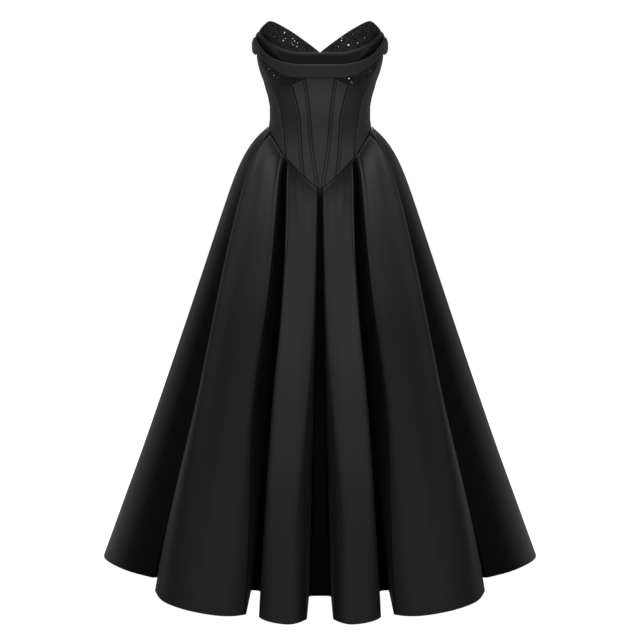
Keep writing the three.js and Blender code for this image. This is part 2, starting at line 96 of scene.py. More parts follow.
TIERS = {
    "drape_upper": {
        "wide": 158.4, "front": 138, "end_lift": 1.9, "side_roll": 0.25,
        "edges": table(
            "angle top bottom",
            (0, 118.5, 80), (22, 122.5, 84), (38, 140, 99), (52, 161, 123), (67, 191, 156),
            (79, 188, 160), (98, 180, 156),
        ),
    },
    "drape_lower": {
        "wide": 164.2, "front": 147, "end_lift": 4.8, "side_roll": 1,
        "edges": table(
            "angle top bottom",
            (0, 88.5, 55), (18, 91, 58), (29, 98, 67), (41, 112, 87), (52, 132, 110), (64, 161, 133),
            (72, 181, 144), (82, 182, 151), (98, 176, 155),
        ),
    },
}
TIER_END = 98
# A tier's section flattens between two shares of the way to its end, and then comes to lie on the
# bodice, with a share of its roll left.
TIER_FLATTENS = (0.3, 0.8)
TIER_SEWN_FROM = 0.84
TIER_SEWN_ROLL = 0.25
# A tier's section: out from its ellipse, and up as a share of its height.
TIER_SECTION = table(
    "out up",
    (-3.6, -0.38), (-3.2, -0.49), (-0.4, -0.51), (1.8, -0.28), (2.8, 0.1), (1.4, 0.42), (-1.2, 0.54),
    (-3.6, 0.46), (-4.2, 0.24),
)
# The skirt's inverted pleats: angles at the waist seam and the hem, depth, half width of the floor,
# and how far it leans round the figure.
FOLDS = [
    dict(seam=0, hem=0, depth=190, floor=22.5, lean=0),
    dict(seam=33.6, hem=15.6, depth=203, floor=10, lean=49),
    dict(seam=66, hem=52.5, depth=128, floor=8, lean=46),
    dict(seam=114, hem=121, depth=160, floor=14, lean=-18),
    dict(seam=148, hem=154, depth=180, floor=13, lean=-24),
    dict(seam=180, hem=180, depth=0, floor=16, lean=0),
]


def edge(mouth, drop, reach, shoulder, power, belly, belly_at):
    """A gore's edge along a pleat, at the hem.

    The lip lies mouth out from the pleat's middle and drop inside the envelope, and the shoulder reach
    out and shoulder inside. Both drops grow down the skirt to this power, and the mouth is widened by
    belly at one share of the length.
    """
    return {"mouth": mouth, "drop": drop, "reach": reach, "shoulder": shoulder, "power": power,
            "belly": belly, "belly_at": belly_at}


# The gores: the number of the fold before, both edges, and how far the ridge between them drops inside
# the envelope at shares of the way across.
GORES = {
    "skirt_front": (0, edge(21, 42, 35, 19, 1.3, 12, 0.72), edge(15.6, 39, 38, 17, 1.3, 24, 0.2),
                    [(0.42, 2)]),
    "skirt_side_front": (1, edge(11.5, 48, 27, 32, 1.3, 21, 0.6), edge(26, 71, 90, 48, 2.8, 34, 0.55),
                         [(0.19, 18), (0.4, 19), (0.58, 29)]),
    "skirt_side": (2, edge(62, 112, 112, 98, 1.0, 0, 0.4), edge(22, 48, 70, 14, 1, 5, 0.4),
                   [(0.29, 61), (0.47, 9), (0.6, -3), (0.76, 0)]),
    "skirt_side_back": (3, edge(18, 46, 62, 12, 1.3, 5, 0.4), edge(18, 44, 60, 12, 1.3, 8, 0.4),
                        [(0.38, -2), (0.62, -3)]),
    "skirt_back": (4, edge(18, 44, 58, 12, 1.3, 8, 0.4), edge(48, 0, 72, 0, 1.3, 0, 0.4), [(0.5, -3)]),
}
# At the waist seam a pleat's floor is a step to each side of its middle, its mouth three steps, and its
# shoulder lies this far out.
PLEAT_STEP = 2.6
PLEAT_SHOULDER = 12
PLEAT_POINTS = 7  # from a pleat's floor to its shoulder
# The share of the skirt's spread that comes as a puff under the waist seam, at the side and in front,
# the share of the length in which it comes, and the share that comes as a kick towards the hem.
PUFF_SIDE = 0.12
PUFF_FRONT = 0.06
PUFF_LENGTH = 0.045
HEM_KICK = 0.07
# Where a mouth bellies out: over how much of the length, and how soon under the waist seam.
BELLY_SPREAD = 0.26
BELLY_START_POWER = 0.3
SEAM_FADE_POWER = 30  # how fast the fit to the waist seam ends below it
# A depth inside the envelope is scaled up by how far the skirt has opened there, to this power.
DEPTH_POWER = 0.75
LEAST_OPENED = 0.02
ROW_SPACING_POWER = 1.6  # closer rows near the waist
# How many cells of cloth lie across and up each piece.
BODICE_ROWS = 72
CENTRE_COLUMNS = 36
CUP_GRID = (48, 40)
CHANNEL_GRID = (16, 90)
TIER_GRID = (160, 44)
GORE_GRID = (96, 84)
# How far the cells are gathered towards a piece's edges, from 0 to 1.
PANEL_GATHER = 0.6
CHANNEL_GATHER = 0.3


def mix(a, b, share):
    return a + (b - a) * share


def smooth(low, high, value):
    t = np.clip((value - low) / (high - low), 0, 1)
    return t * t * (3 - 2 * t)


def unit(vectors):
    return vectors / np.maximum(np.linalg.norm(vectors, axis=-1, keepdims=True), 1e-9)


def along(rows, key, column, at):
    """The value of one column at a place along another, on a smooth curve through the rows."""
    places, values = rows[key], rows[column]
    last = len(places) - 1
    if last == 0:
        return np.full(np.shape(at), values[0])
    order = np.arange(last + 1)
    before = np.maximum(order - 1, 0)
    after = np.minimum(order + 1, last)
    slopes = (values[after] - values[before]) / (places[after] - places[before])
    at = np.clip(at, places[0], places[-1])
    i = np.clip(np.searchsorted(places, at, side="right") - 1, 0, last - 1)
    span = places[i + 1] - places[i]
    t = (at - places[i]) / span
    bend = (1 - t) * t * span * (slopes[i] * (1 - t) - slopes[i + 1] * t)
    return mix(values[i], values[i + 1], t * t * (3 - 2 * t)) + bend


def torso_point(angle, z):
    """A point of the bodice's outer surface."""
    a = np.radians(angle)
    wide = along(TORSO, "z", "wide", z)
    deep = np.where(np.abs(angle) < 90, along(TORSO, "z", "front", z), along(TORSO, "z", "back", z))
    out = unit(np.stack([np.sin(a) / wide, -np.cos(a) / deep, 0 * a], -1))
    across = (np.abs(angle) - CUP_FULLNESS["angle"]) / CUP_FULLNESS["spread_angle"]
    up = (z - CUP_FULLNESS["z"]) / CUP_FULLNESS["spread_z"]
    fullness = CUP_FULLNESS["rise"] * np.exp(-across * across - up * up)
    return np.stack([wide * np.sin(a), -deep * np.cos(a), z + 0 * a], -1) + out * fullness[..., None]


def figure_angle(point):
    x, y, z = point[..., 0], point[..., 1], point[..., 2]
    wide = along(TORSO, "z", "wide", z)
    deep = np.where(y < 0, along(TORSO, "z", "front", z), along(TORSO, "z", "back", z))
    return np.degrees(np.arctan2(x / wide, -y / deep))


def spline_weights(count, shares):
    """How much each of count points weighs at each share of the way along a clamped cubic curve."""
    knots = np.clip(np.arange(count + 4) - 3, 0, count - 3).astype(float)
    at = np.minimum(shares * (count - 3), count - 3 - 1e-9)[:, None]
    weights = ((knots[:-1] <= at) & (at < knots[1:])).astype(float)
    for degree in (1, 2, 3):
        n = weights.shape[1] - 1
        rise = knots[degree:degree + n] - knots[:n]
        fall = knots[degree + 1:degree + 1 + n] - knots[1:1 + n]
        up = np.divide(at - knots[:n], rise, out=np.zeros((len(at), n)), where=rise > 0)
        down = np.divide(knots[degree + 1:degree + 1 + n] - at, fall, out=np.zeros((len(at), n)),
                         where=fall > 0)
        weights = weights[:, :n] * up + weights[:, 1:n + 1] * down
    return weights


def shares(columns, rows, gather=0):
    """Shares round and up a piece, as grids of rows + 1 by columns + 1, gathered towards its edges."""
    lines = []
    for count in (columns, rows):
        even = np.linspace(0, 1, count + 1)
        lines.append(mix(even, (1 - np.cos(np.pi * even)) / 2, gather))
    return np.meshgrid(*lines)


def seam_angle(name, z):
    return along(SEAMS[name], "z", "angle", z)


def panel_points(start, end, under, over, columns, rows, mirror_start=False):
    """A bodice panel between two seams and two edges."""
    s, t = shares(columns, rows, PANEL_GATHER)
    side = -1 if mirror_start else 1
    z = 0 * s
    for _ in range(SEAM_ROUNDS):
        angle = mix(side * seam_angle(start, z), seam_angle(end, z), s)
        low = along(under, "angle", "z", np.abs(angle))
        high = along(over, "angle", "z", np.abs(angle))
        z = mix(low, high, t)
    return torso_point(angle, z)


def channel_points(name, columns, rows):
    """A boning channel's middle layer along a seam, from the waist seam to the cup's."""
    s, t = shares(columns, rows, CHANNEL_GATHER)
    angle = seam_angle(name, 0) + 0 * s
    for _ in range(SEAM_ROUNDS):
        low = along(WAIST_SEAM, "angle", "z", angle) + CHANNEL_END_GAP
        high = along(CUP_SEAM, "angle", "z", angle) - CHANNEL_END_GAP
        z = mix(low, high, t)
        half = np.degrees(CHANNEL_WIDTH / 2 / along(TORSO, "z", "wide", z))
        angle = seam_angle(name, z) + mix(-half, half, s)
    return torso_point(angle, z)


def tier_points(tier, columns, rows):
    """A draped tier: its section carried round the front from side to side."""
    s, t = shares(columns, rows)
    angle = mix(-TIER_END, TIER_END, s)
    a = np.radians(angle)
    share = np.abs(angle) / TIER_END
    top = along(tier["edges"], "angle", "top", np.abs(angle))
    bottom = along(tier["edges"], "angle", "bottom", np.abs(angle))
    ending = smooth(TIER_SEWN_FROM, 1, share)
    roll = mix(mix(1, tier["side_roll"], smooth(*TIER_FLATTENS, share)), TIER_SEWN_ROLL, ending)
    weights = spline_weights(len(TIER_SECTION["out"]), t[:, 0])
    out_by = (weights @ TIER_SECTION["out"])[:, None] * roll
    z = (top + bottom) / 2 + (weights @ TIER_SECTION["up"])[:, None] * (top - bottom)
    out = unit(np.stack([np.sin(a) / tier["wide"], -np.cos(a) / tier["front"], 0 * a], -1))
    hung = np.stack([tier["wide"] * np.sin(a), -tier["front"] * np.cos(a), z], -1)
    sewn = torso_point(angle, z) + out * tier["end_lift"]
    return mix(hung, sewn, ending[..., None]) + out * out_by[..., None]


def flare(down, puff):
    """How far the skirt has spread from the waist to the hem, at a share of the way down."""
    sprung = 1 - math.exp(-down / PUFF_LENGTH)
    return (1 - HEM_KICK - puff) * down + HEM_KICK * down * down + puff * sprung


def envelope_point(seam, hem, down):
    """A point of the envelope that the pleats fill."""
    top = torso_point(np.array(float(seam)), along(WAIST_SEAM, "angle", "z", seam))
    h = math.radians(hem)
    foot = np.array([HEM_RADIUS * math.sin(h), -HEM_RADIUS * math.cos(h), HEM_Z])
    out = flare(down, mix(PUFF_FRONT, PUFF_SIDE, math.sin(math.radians(min(seam, 90))) ** 2))
    return mix(top, foot, np.array([out, out, down]))


def inward_of(point):
    return unit(np.array([-point[0], -point[1], 0]))


def pleat_points(fold, rim, side, down):
    """A gore's half of a pleat at one level, from its floor to its shoulder, and each point's depth.

    The pressed creases, at the floor's corner and at the lip, are given twice, which keeps them crisp.
    """
    opened = flare(down, PUFF_SIDE)
    middle = envelope_point(fold["seam"], fold["hem"], down)
    inward = inward_of(middle)
    round_it = np.array([inward[1], -inward[0], 0])
    from_belly = (down - rim["belly_at"]) / BELLY_SPREAD
    belly = rim["belly"] * math.exp(-from_belly * from_belly) * opened ** BELLY_START_POWER
    mouth = mix(3 * PLEAT_STEP, rim["mouth"], down) + belly
    floor = mix(PLEAT_STEP, fold["floor"], down)
    lean = fold["lean"] * opened
    sunk = rim["drop"] * down ** rim["power"]
    depth = fold["depth"] * opened
    shoulder = side * mix(PLEAT_SHOULDER, rim["reach"] + belly, down)
    corner = (side * floor + lean, depth)
    lip = (side * mouth, sunk)
    places = [
        (lean, depth),
        corner,
        corner,
        ((side * (floor + mouth) + lean) / 2, (depth + sunk) / 2),
        lip,
        lip,
        (shoulder, rim["shoulder"] * down ** rim["power"]),
    ]
    return [np.append(middle + round_it * r + inward * i, i) for r, i in places]


def gore_points(name, columns, rows):
    """A gore, from the floor of one pleat over its ridge to the floor of the next.

    Its depths inside the envelope come with it, scaled up to what they are at the hem.
    """
    number, near_rim, far_rim, crown = GORES[name]
    near, far = FOLDS[number], FOLDS[number + 1]
    weights = spline_weights(2 * PLEAT_POINTS + len(crown), np.linspace(0, 1, columns + 1))

    def level(down):
        ridge = []
        for share, drop in crown:
            point = envelope_point(mix(near["seam"], far["seam"], share),
                                   mix(near["hem"], far["hem"], share), down)
            sunk = drop * down ** mix(near_rim["power"], far_rim["power"], share)
            ridge.append(np.append(point + inward_of(point) * sunk, sunk))
        last = pleat_points(far, far_rim, -1, down)[::-1]
        return weights @ np.array(pleat_points(near, near_rim, 1, down) + ridge + last)

    top = level(0)[:, :3]
    angle = figure_angle(top)
    sewn = torso_point(angle, along(WAIST_SEAM, "angle", "z", angle)) - top
    downs = (1 - np.linspace(0, 1, rows + 1)) ** ROW_SPACING_POWER
    levels = np.array([level(down) for down in downs])
    fade = ((1 - downs) ** SEAM_FADE_POWER)[:, None, None]
    opened = np.array([max(flare(down, PUFF_SIDE), LEAST_OPENED) for down in downs])
    return levels[..., :3] + sewn * fade, levels[..., 3] / opened[:, None] ** DEPTH_POWER


# Building cloth
def normals_of(points):
    """Outward normals of a grid of points whose columns run round the figure and rows upwards."""
    return unit(np.cross(np.gradient(points, axis=1), np.gradient(points, axis=0)))


def flat_of(points):
    """The piece laid flat: how far each point lies across from the middle column, and up."""
    step_across = np.linalg.norm(np.diff(points, axis=1), axis=-1)
    across = np.concatenate([np.zeros((len(points), 1)), np.cumsum(step_across, axis=1)], axis=1)
    across -= across[:, across.shape[1] // 2][:, None]
    step_up = np.linalg.norm(np.diff(points, axis=0), axis=-1)
    up = np.concatenate([np.zeros((1, points.shape[1])), np.cumsum(step_up, axis=0)], axis=0)
    return across, up


def cut_of(points):
    """The width, length and area of the flat piece, in metres."""
    across, up = flat_of(points)
    width = np.ptp(across, axis=1).max() * MM
    length = up[-1].max() * MM
    a = points[:-1, 1:] - points[:-1, :-1]
    b = points[1:, :-1] - points[:-1, :-1]
    area = np.linalg.norm(np.cross(a, b), axis=-1).sum() * MM * MM
    return round(width, 3), round(length, 3), round(area, 5)


def crease_relief(points, creases):
    """How far each point lies outward with these soft troughs and ridges, which fade at their ends."""
    across, up = flat_of(points)
    last = np.array(points.shape[:2]) - 1
    relief = 0 * up
    for from_s, from_t, to_s, to_t, wide, high in zip(*creases.values()):
        start, end = (tuple(np.rint(last * place).astype(int)) for place in ((from_t, from_s), (to_t, to_s)))
        run = np.array([across[end] - across[start], up[end] - up[start]])
        length = np.hypot(*run)
        right, above = across - across[start], up - up[start]
        share = (right * run[0] + above * run[1]) / length ** 2
        off = (right * run[1] - above * run[0]) / length
        relief += high * np.exp(-(off / wide) ** 2) * np.sin(np.pi * np.clip(share, 0, 1))
    return relief


def near_seams(points, spread, sides):
    """How near each point is to the seams along these sides of a piece, 1 on a seam and 0 far away."""
    across, up = flat_of(points)
    away = {"start": across - across[:, :1], "end": across[:, -1:] - across, "under": up,
            "over": up[-1:] - up}
    return sum(np.exp(-(away[side] / spread) ** 2) for side in sides)


def seam_dip(points, depth, spread, sides):
    """How far each point is drawn in towards the seams along these sides of a piece."""
    return -depth * near_seams(points, spread, sides)


OTHER_SIDE = np.array([-1, 1, 1])


def mirrored(points):
    """The same piece on the other side."""
    return points[:, ::-1] * OTHER_SIDE


def deselect():
    bpy.ops.object.select_all(action="DESELECT")


def apply_modifiers(piece):
    bpy.context.view_layer.objects.active = piece
    for modifier in list(piece.modifiers):
        bpy.ops.object.modifier_apply(modifier=modifier.name)


SMOOTH_ANGLE = 50  # edges turned by less than this look soft


def woven_piece(name, points, finish, wall, held, relief=0, deep=0, slot="satin"):
    """A piece of cloth through a grid of points, relief millimetres proud, its wall on the inside.

    deep is painted shade at each point, from 0 to 1, in folds, seams, the drape, under the bust and to the
    hem.
    """
    rows, columns = points.shape[0] - 1, points.shape[1] - 1
    across, up = flat_of(points)
    formed = (points + normals_of(points) * np.broadcast_to(relief, across.shape)[..., None]) * MM
    deselect()
    bpy.ops.mesh.primitive_grid_add(x_subdivisions=columns, y_subdivisions=rows, size=1)
    piece = bpy.context.object
    piece.name = f"{name}_cloth"
    mesh = piece.data
    mesh.name = piece.name
    place = np.zeros(len(mesh.vertices) * 3)
    mesh.vertices.foreach_get("co", place)
    place = place.reshape(-1, 3)
    i = np.rint((place[:, 0] + 0.5) * columns).astype(int)
    j = np.rint((place[:, 1] + 0.5) * rows).astype(int)
    mesh.vertices.foreach_set("co", formed[j, i].ravel())
    corner = np.zeros(len(mesh.loops), int)
    mesh.loops.foreach_get("vertex_index", corner)
    flat = np.stack([across[j, i][corner], up[j, i][corner]], -1) * MM
    mesh.uv_layers.active.data.foreach_set("uv", flat.ravel())
    # The painted shade rides on the mesh as an attribute, which the satin finish reads.
    shaded = mesh.attributes.new("deep", "FLOAT", "POINT")
    shaded.data.foreach_set("value", np.broadcast_to(deep, across.shape)[j, i].astype(float).ravel())
    mesh.update()
    solidify = piece.modifiers.new("wall", "SOLIDIFY")
    solidify.thickness = wall * MM
    solidify.offset = -1
    apply_modifiers(piece)
    bpy.ops.object.shade_smooth_by_angle(angle=math.radians(SMOOTH_ANGLE))
    mesh.materials.append(finish)
    width, length, area = cut_of(points)
    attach(piece, "gown")
    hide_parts(name)


# Finishes
def new_finish(name, colour, **values):
    """A material whose shader has these fixed values. Returns it with its nodes and links."""
    finish = bpy.data.materials.new(name)
    finish.use_nodes = True
    shader = finish.node_tree.nodes["Principled BSDF"]
    shader.inputs["Base Color"].default_value = (*colour, 1)
    for key, value in values.items():
        shader.inputs[key.replace("_", " ").title().replace("Ior", "IOR")].default_value = value
    return finish, finish.node_tree.nodes, finish.node_tree.links, shader


def add_node(nodes, kind, **values):
    node = nodes.new(kind)
    for key, value in values.items():
        if key in node.inputs:
            node.inputs[key].default_value = value
        else:
            setattr(node, key, value)
    return node


def add_ramp(nodes, rows):
    """A colour ramp of greys, one for each place."""
    ramp = add_node(nodes, "ShaderNodeValToRGB")
    marks = ramp.color_ramp.elements
    while len(marks) < len(rows["place"]):
        marks.new(1)
    for mark, place, value in zip(marks, rows["place"], rows["value"]):
        mark.position = place
        mark.color = (value, value, value, 1)
    return ramp


def satin_finish():
    """Heavy satin: a soft sheen, a fine weave with slubs, and painted shade from the deep attribute."""
    finish, nodes, links, shader = new_finish(
        "black_satin", (0.012, 0.012, 0.013), roughness=0.38, sheen_weight=0.03, sheen_roughness=0.4)
    flat = add_node(nodes, "ShaderNodeTexCoord")
    stretch = add_node(nodes, "ShaderNodeMapping", Scale=(1, 0.25, 1))
    links.new(flat.outputs["UV"], stretch.inputs["Vector"])
    slub = add_node(nodes, "ShaderNodeTexNoise", Scale=700.0, Detail=3.0, Roughness=0.6)
    links.new(stretch.outputs["Vector"], slub.inputs["Vector"])
    weave = add_node(nodes, "ShaderNodeTexWave", Scale=420.0, Distortion=1.5, bands_direction="DIAGONAL")
    links.new(flat.outputs["UV"], weave.inputs["Vector"])
    both = add_node(nodes, "ShaderNodeMath", operation="MULTIPLY_ADD")
    both.inputs[1].default_value = 0.35  # the weave beside the slubs
    links.new(weave.outputs["Fac"], both.inputs[0])
    links.new(slub.outputs["Fac"], both.inputs[2])
    bump = add_node(nodes, "ShaderNodeBump", Strength=0.25, Distance=0.0003)
    links.new(both.outputs["Value"], bump.inputs["Height"])
    links.new(bump.outputs["Normal"], shader.inputs["Normal"])
    # Painted shade: the deep attribute lowers the specular level and darkens the base colour.
    deep = add_node(nodes, "ShaderNodeAttribute", attribute_name="deep")
    painted_shade_specular = add_ramp(nodes, table("place value", (0, 0.43), (0.5, 0.15), (1, 0.03)))
    links.new(deep.outputs["Fac"], painted_shade_specular.inputs["Fac"])
    links.new(painted_shade_specular.outputs["Color"], shader.inputs["Specular IOR Level"])
    colour = add_ramp(nodes, table("place value", (0, 0.012), (1, 0.003)))
    links.new(deep.outputs["Fac"], colour.inputs["Fac"])
    links.new(colour.outputs["Color"], shader.inputs["Base Color"])
    return finish


def lace_finish():
    """Black lace over satin: raised cords between small open cells."""
    finish, nodes, links, shader = new_finish(
        "black_lace", (0.007, 0.007, 0.008), roughness=0.5, specular_ior_level=0.3)
    flat = add_node(nodes, "ShaderNodeTexCoord")
    cells = add_node(nodes, "ShaderNodeTexVoronoi", Scale=330.0, feature="DISTANCE_TO_EDGE")
    links.new(flat.outputs["UV"], cells.inputs["Vector"])
    cords = add_ramp(nodes, table("place value", (0, 1), (0.25, 0)))
    links.new(cells.outputs["Distance"], cords.inputs["Fac"])
    bump = add_node(nodes, "ShaderNodeBump", Strength=0.8, Distance=0.0008)
    links.new(cords.outputs["Color"], bump.inputs["Height"])
    links.new(bump.outputs["Normal"], shader.inputs["Normal"])
    return finish


SATIN = satin_finish()
LACE = lace_finish()
SEQUIN = new_finish("black_sequins", (0.034, 0.034, 0.036), metallic=1.0, roughness=0.2)[0]
CRYSTAL = new_finish("clear_crystal", (0.95, 0.95, 0.97), metallic=1.0, roughness=0.12)[0]
THREAD = new_finish("black_thread", (0.006, 0.006, 0.006), roughness=0.7)[0]
ENAMEL = new_finish("black_enamel", (0.03, 0.03, 0.032), roughness=0.25, coat_weight=0.5)[0]


# Small things: each shape is its points and faces, one unit in size, lying flat with its front on +Z.
def ring(count, radius, height):
    turns = np.arange(count) * 2 * np.pi / count
    return np.stack([radius * np.cos(turns), radius * np.sin(turns), height + 0 * turns], -1)


def bands(count, rings):
    """The faces between rings of points that lie one after the other."""
    return [(r * count + k, r * count + (k + 1) % count, (r + 1) * count + (k + 1) % count,
             (r + 1) * count + k) for r in range(rings - 1) for k in range(count)]


def turned_shape(count, *profile):
    """A small closed shape turned round its own axis, from (radius, height) pairs, lowest first."""
    points = np.concatenate([ring(count, radius, height) for radius, height in profile])
    last = len(points) - count
    faces = bands(count, len(profile)) + [tuple(range(count))[::-1], tuple(range(last, last + count))]
    return points, faces


DISC = turned_shape(7, (1, 0), (1, 0.12), (0.45, 0.2))
BEAD = turned_shape(6, (0.35, 0), (0.95, 0.45), (0.95, 0.95), (0.35, 1.4))
GEM = turned_shape(8, (0.6, 0), (1, 0.5), (0.62, 0.95))
STITCH = turned_shape(5, (0.25, -0.1), (0.25, 0.25))
STITCH[0][:, 0] *= 4  # four times as long as it is wide
TOOTH = turned_shape(4, (1, -0.3), (0.8, 0.5))


def scatter(name, shape, places, outs, ways, sizes, finish):
    """Copies of a small shape as one mesh, each facing out and lying along its way."""
    points, faces = shape
    outs = unit(outs)
    ways = unit(ways - outs * (ways * outs).sum(-1, keepdims=True))
    sides = np.cross(outs, ways)
    axes = np.stack([ways, sides, outs], 1)
    formed = places[:, None] + np.einsum("pk,nkx->npx", points, axes) * np.asarray(sizes)[:, None, None]
    count = len(points)
    mesh = bpy.data.meshes.new(name)
    mesh.from_pydata((formed.reshape(-1, 3) * MM).tolist(), [],
                     [tuple(k * count + v for v in face) for k in range(len(places)) for face in faces])
    mesh.materials.append(finish)
    piece = bpy.data.objects.new(name, mesh)
    bpy.context.scene.collection.objects.link(piece)
    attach(piece, "gown")


def line_across(points, s):
    """The line up a grid of points at a share of the way across it."""
    at = s * (points.shape[1] - 1)
    i = min(int(at), points.shape[1] - 2)
    return mix(points[:, i], points[:, i + 1], at - i)


LOOK_AHEAD = 0.5  # how far on along a line its direction is taken


def walk(line, pitch):
    """Places at an even pitch along a line, and the line's direction at each."""
    steps = np.linalg.norm(np.diff(line, axis=0), axis=-1)
    run = np.concatenate([[0], np.cumsum(steps)])
    at = np.arange(pitch, run[-1] - pitch / 2, pitch)
    places = np.stack([np.interp(at, run, line[:, axis]) for axis in range(3)], -1)
    ahead = np.stack([np.interp(at + LOOK_AHEAD, run, line[:, axis]) for axis in range(3)], -1)
    return places, ahead - places


# The gown
def build_pair(name, points, *args, relief=0, deep=0, **values):
    """A piece on the left and the same piece on the right."""
    shape = points.shape[:2]
    relief, deep = np.broadcast_to(relief, shape), np.broadcast_to(deep, shape)
    woven_piece(f"{name}_left", points, *args, relief=relief, deep=deep, **values)
    woven_piece(f"{name}_right", mirrored(points), *args, relief=relief[:, ::-1], deep=deep[:, ::-1],
                **values)


# The bodice's panels: the seams at their two sides, the edge over them, and their columns.
PANELS = [
    ("bodice_front", "inner_bone", "outer_bone", CUP_SEAM, 24),
    ("bodice_side_front", "outer_bone", "princess", CUP_SEAM, 32),
    ("bodice_side", "princess", "side_back", TOP_EDGE, 36),
    ("bodice_side_back", "side_back", "back", TOP_EDGE, 24),
    ("bodice_back", "back", "centre_back", TOP_EDGE, 24),
]
# A crease runs from one place to another, given as shares across the piece and up it. It is this wide
# to each side and this high, or deep where it is below zero.
CREASE_COLUMNS = "from_s from_t to_s to_t wide high"
BODICE_CREASES = {
    "bodice_centre_front": table(
        CREASE_COLUMNS, (0.1, 0.55, 0.85, 0.5, 5, -0.5), (0.15, 0.4, 0.7, 0.42, 4, -0.4)),
    "bodice_front": table(CREASE_COLUMNS, (0, 0.42, 0.9, 0.47, 4, -0.5)),
    "bodice_side_front": table(
        CREASE_COLUMNS, (0.1, 0.3, 0.95, 0.36, 5, -0.7), (0.2, 0.22, 1, 0.25, 4, -0.5),
        (0.3, 0.52, 0.9, 0.5, 6, 0.6)),
    "bodice_side": table(
        CREASE_COLUMNS, (0, 0.16, 0.6, 0.2, 4, -0.8), (0.1, 0.1, 0.8, 0.12, 3.5, -0.6),
        (0.3, 0.27, 0.95, 0.24, 5, -0.7), (0.2, 0.6, 0.7, 0.5, 9, 0.7)),
    "bodice_side_back": table(
        CREASE_COLUMNS, (0.1, 0.2, 0.9, 0.26, 5, -0.6), (0.2, 0.36, 0.8, 0.33, 5, -0.5)),
    "bodice_back": table(
        CREASE_COLUMNS, (0.1, 0.3, 0.8, 0.25, 5, -0.6), (0.3, 0.45, 0.9, 0.5, 6, -0.4)),
}
# Which of a panel's sides lie under a boning channel. The others are plain seams.
BONED = {"bodice_centre_front": ("start", "end"), "bodice_front": ("start", "end"),
         "bodice_side_front": ("start",)}
# Painted shade in a seam, how far cloth is drawn in at a seam, a bone or a cup's edge, and over what widths.
SEAM_SHADE = 0.9
SEAM_SHADE_WIDTH = 1.3
SEAM_DIP = 1.0
SEAM_DIP_WIDTH = 2.2
WAIST_DIP_WIDTH = 1.5
BONE_DIP = 1.4
BONE_DIP_WIDTH = 5.0
CUP_DIP = 0.8
CUP_DIP_WIDTH = 2.0
# The side front panel's painted shade under the bust, from none at the low height to the most from the high
# one up.
UNDERBUST_SHADE = {"low": -110, "high": 0, "most": 0.36}


def bodice_form(name, points):
    """A panel's relief, and its painted shade beside its plain seams and, on the side front, under the bust.
    """
    boned = BONED.get(name, ())
    plain = tuple(side for side in ("start", "end") if side not in boned) + ("under",)
    relief = seam_dip(points, BONE_DIP, BONE_DIP_WIDTH, boned) if boned else 0
    relief = relief + seam_dip(points, SEAM_DIP, SEAM_DIP_WIDTH, plain)
    relief = relief + crease_relief(points, BODICE_CREASES[name])
    # Painted shade beside the plain seams, and under the bust on the side front.
    deep = SEAM_SHADE * near_seams(points, SEAM_SHADE_WIDTH, plain)
    if name == "bodice_side_front":
        low, high = UNDERBUST_SHADE["low"], UNDERBUST_SHADE["high"]
        deep = deep + UNDERBUST_SHADE["most"] * smooth(low, high, points[..., 2])
    return {"relief": relief, "deep": np.clip(deep, 0, 1)}


def build_bodice():
    centre = panel_points("inner_bone", "inner_bone", WAIST_SEAM, CUP_SEAM, CENTRE_COLUMNS,
                          BODICE_ROWS, mirror_start=True)
    woven_piece("bodice_centre_front", centre, SATIN, BODICE_WALL, "stretched",
                **bodice_form("bodice_centre_front", centre))
    for name, start, end, over, columns in PANELS:
        points = panel_points(start, end, WAIST_SEAM, over, columns, BODICE_ROWS)
        build_pair(name, points, SATIN, BODICE_WALL, "stretched", **bodice_form(name, points))
    cup = panel_points("centre_front", "princess", CUP_SEAM, TOP_EDGE, *CUP_GRID)
    build_pair("cup", cup, LACE, BODICE_WALL, "stretched", slot="beaded_lace",
               relief=seam_dip(cup, CUP_DIP, CUP_DIP_WIDTH, ("start", "end", "under")))


CHANNEL_LIFT = 1.3  # how far a channel's edges lie out from the bodice
CHANNEL_CROWN = 0.7  # and its middle from its edges
STITCH_INSET = 1.3  # from the channel's edge to its row of stitches
STITCH_PITCH = 3.2
# Stitch rows: the width and depth of the groove each sinks into, and the painted shade laid in it.
STITCH_ROW = {"wide": 0.8, "deep": 0.7, "shade": 0.85}  # the groove that a row sinks into


def channel_form(points):
    """A channel's relief, crowned between its two rows of stitches, and the painted shade in those rows."""
    across = flat_of(points)[0]
    half = across[:, -1:]
    crown = CHANNEL_CROWN * (1 - (across / half) ** 2)
    in_row = np.exp(-((half - np.abs(across) - STITCH_INSET) / STITCH_ROW["wide"]) ** 2)
    return CHANNEL_LIFT + crown - STITCH_ROW["deep"] * in_row, STITCH_ROW["shade"] * in_row


def build_channels():
    stitches = []
    for seam in ("inner_bone", "outer_bone"):
        name = "bone_channel_" + seam.split("_")[0]
        points = channel_points(seam, *CHANNEL_GRID)
        relief, deep = channel_form(points)
        build_pair(name, points, SATIN, CHANNEL_WALL, "stretched", relief=relief, deep=deep)
        formed = points + normals_of(points) * relief[..., None]
        for s in (STITCH_INSET / CHANNEL_WIDTH, 1 - STITCH_INSET / CHANNEL_WIDTH):
            line = line_across(formed, s)
            stitches += [line, line * OTHER_SIDE]
    for number, line in enumerate(stitches):
        places, ways = walk(line, STITCH_PITCH)
        outs = unit(places * np.array([1, 1, 0]))
        scatter(f"channel_stitches_{number + 1}", STITCH, places, outs, ways, np.ones(len(places)), THREAD)


